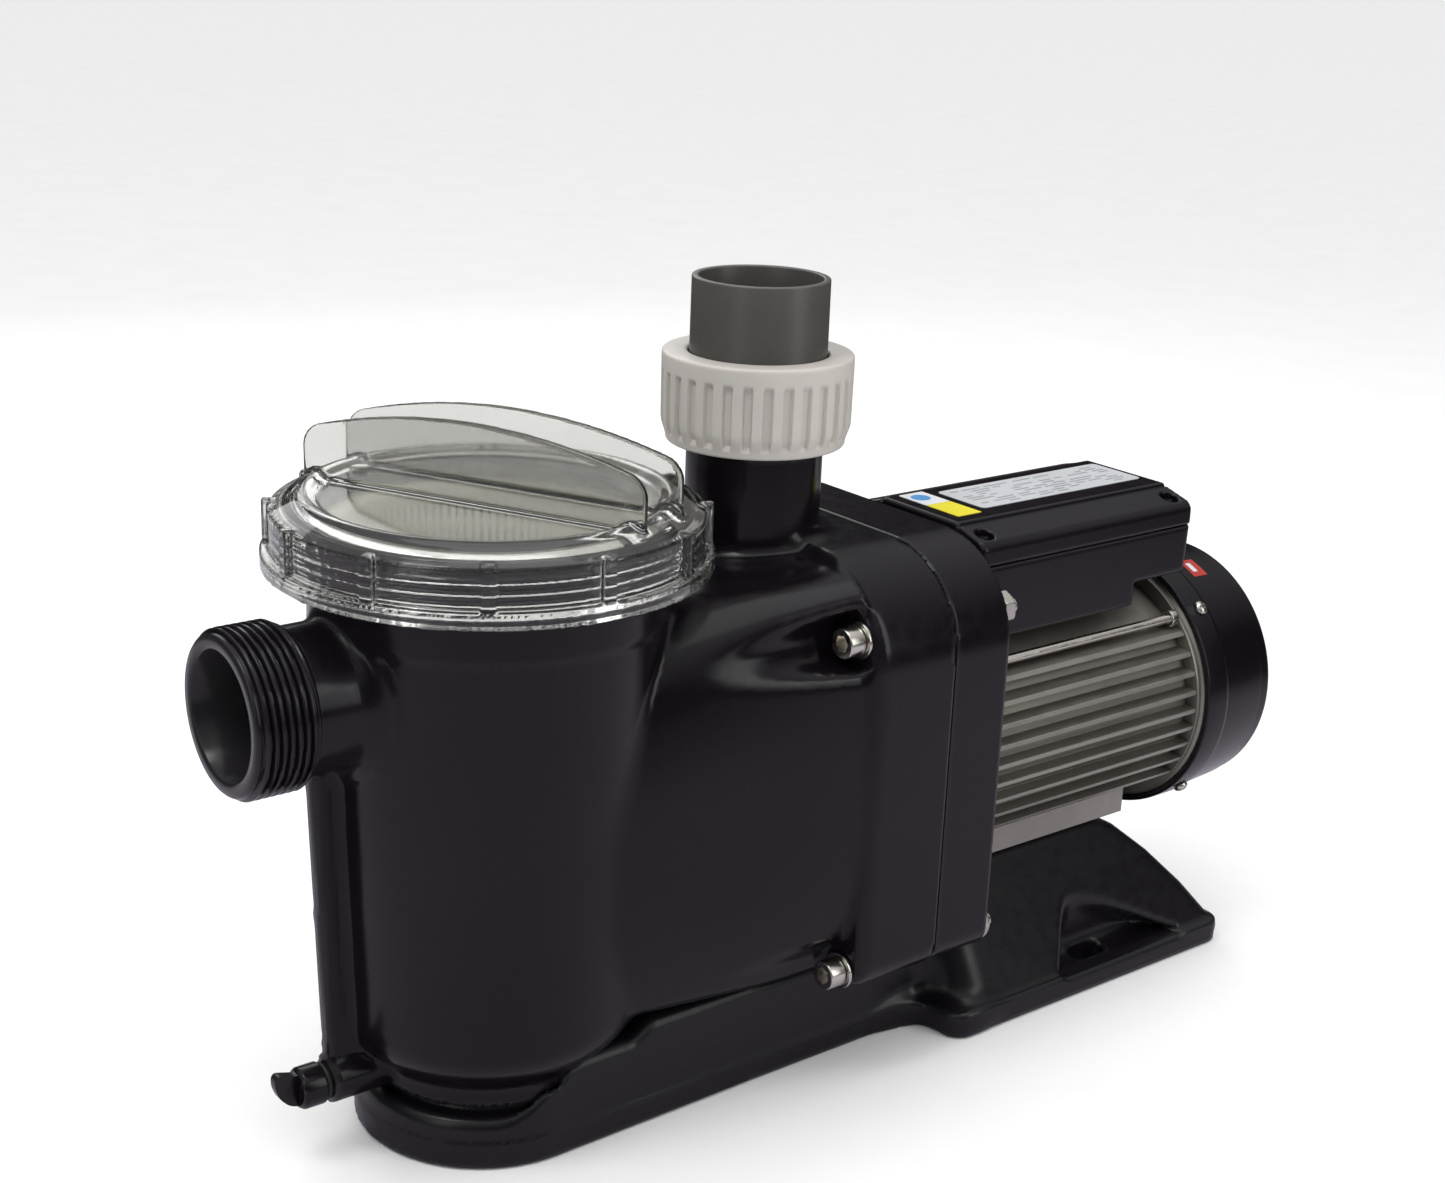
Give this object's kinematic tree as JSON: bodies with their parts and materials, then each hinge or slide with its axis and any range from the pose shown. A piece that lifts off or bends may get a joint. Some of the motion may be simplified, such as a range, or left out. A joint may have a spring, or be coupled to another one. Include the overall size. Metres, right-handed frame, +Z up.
{
  "type": "pool pump",
  "caption": "Self-priming pool pump with a see-through strainer lid, threaded suction, top union and finned motor on a moulded base.",
  "frame": {"origin": "on the floor under the strainer axis, on the underside of the base", "axes": "+X along the shaft from the suction port to the fan cover, +Z up, -Y the side with the near casing bolts"},
  "size_m": [0.5203, 0.1764, 0.3417],
  "materials": {
    "black_plastic": "satin moulded",
    "base_plastic": "semi gloss moulded",
    "clear_plastic": "clear, see-through",
    "basket_plastic": "moulded",
    "nut_plastic": "satin",
    "grey_plastic": "satin",
    "rubber": "matte",
    "ceramic": "ground",
    "stainless": "bright",
    "core_steel": "laminated",
    "aluminium": "as cast",
    "copper": "varnished wire",
    "label": "printed film"
  },
  "bodies": {
    "root": {"pump_housing": "black_plastic", "seal_plate": "black_plastic", "fan_cover": "black_plastic", "terminal_box": "black_plastic", "terminal_box_lid": "black_plastic", "cable_gland": "black_plastic", "pump_base": "base_plastic", "terminal_block": "nut_plastic", "diffuser": "grey_plastic", "casing_o_ring": "rubber", "terminal_box_gasket": "rubber", "seal_stationary_seat": "ceramic", "front_bearing": "stainless", "rear_bearing": "stainless", "casing_bolt_1": "stainless", "casing_washer_1": "stainless", "casing_nut_1": "stainless", "cover_screw_1": "stainless", "box_screw_1": "stainless", "casing_bolt_2": "stainless", "casing_washer_2": "stainless", "casing_nut_2": "stainless", "cover_screw_2": "stainless", "box_screw_2": "stainless", "casing_bolt_3": "stainless", "casing_washer_3": "stainless", "casing_nut_3": "stainless", "cover_screw_3": "stainless", "box_screw_3": "stainless", "casing_bolt_4": "stainless", "casing_washer_4": "stainless", "casing_nut_4": "stainless", "cover_screw_4": "stainless", "box_screw_4": "stainless", "tie_bolt_1": "stainless", "tie_bolt_2": "stainless", "stator_core": "core_steel", "motor_housing": "aluminium", "front_end_bracket": "aluminium", "rear_end_bracket": "aluminium", "end_winding_front": "copper", "end_winding_rear": "copper", "rating_label": "label", "capacitor": "label"},
    "shaft": {"motor_shaft": "stainless", "rotor_core": "core_steel", "impeller": "grey_plastic", "seal_rotating_head": "rubber", "cooling_fan": "black_plastic"},
    "lid_seal": {"lid_o_ring": "rubber"},
    "lid": {"strainer_lid": "clear_plastic"},
    "basket": {"strainer_basket": "basket_plastic"},
    "drain_seal": {"drain_o_ring": "rubber"},
    "drain": {"drain_plug": "black_plastic"},
    "tail": {"union_tail": "grey_plastic", "union_o_ring": "rubber"},
    "nut": {"union_nut": "nut_plastic"}
  },
  "joints": [
    {"name": "shaft_spin", "type": "hinge", "parent": "root", "child": "shaft", "pos_m": [0, -0.017, 0.129], "axis": [1, 0, 0], "continuous": true},
    {"name": "lid_lift", "type": "slide", "parent": "root", "child": "lid_seal", "axis": [0, 0, 1], "range_m": [0, 0.3]},
    {"name": "lid_turn", "type": "hinge", "parent": "lid_seal", "child": "lid", "pos_m": [0, 0, 0.25], "axis": [0, 0, 1], "range_deg": [0, 1170]},
    {"name": "basket_lift", "type": "slide", "parent": "root", "child": "basket", "axis": [0, 0, 1], "range_m": [0, 0.21]},
    {"name": "drain_out", "type": "slide", "parent": "root", "child": "drain_seal", "axis": [-1, 0, 0], "range_m": [0, 0.0116]},
    {"name": "drain_turn", "type": "hinge", "parent": "drain_seal", "child": "drain", "pos_m": [-0.085, 0, 0.034], "axis": [-1, 0, 0], "range_deg": [0, 3096]},
    {"name": "union_lift", "type": "slide", "parent": "root", "child": "tail", "axis": [0, 0, 1], "range_m": [0, 0.0142]},
    {"name": "union_turn", "type": "hinge", "parent": "tail", "child": "nut", "pos_m": [0.131, 0, 0.29], "axis": [0, 0, 1], "range_deg": [0, 2196]}
  ],
  "couplings": [
    {"joint": "basket_lift", "follows": "lid_lift", "ratio": 0.7},
    {"joint": "drain_out", "follows": "drain_turn", "m_per_rad": 0.00021279},
    {"joint": "union_lift", "follows": "union_turn", "m_per_rad": 0.00036749}
  ]
}
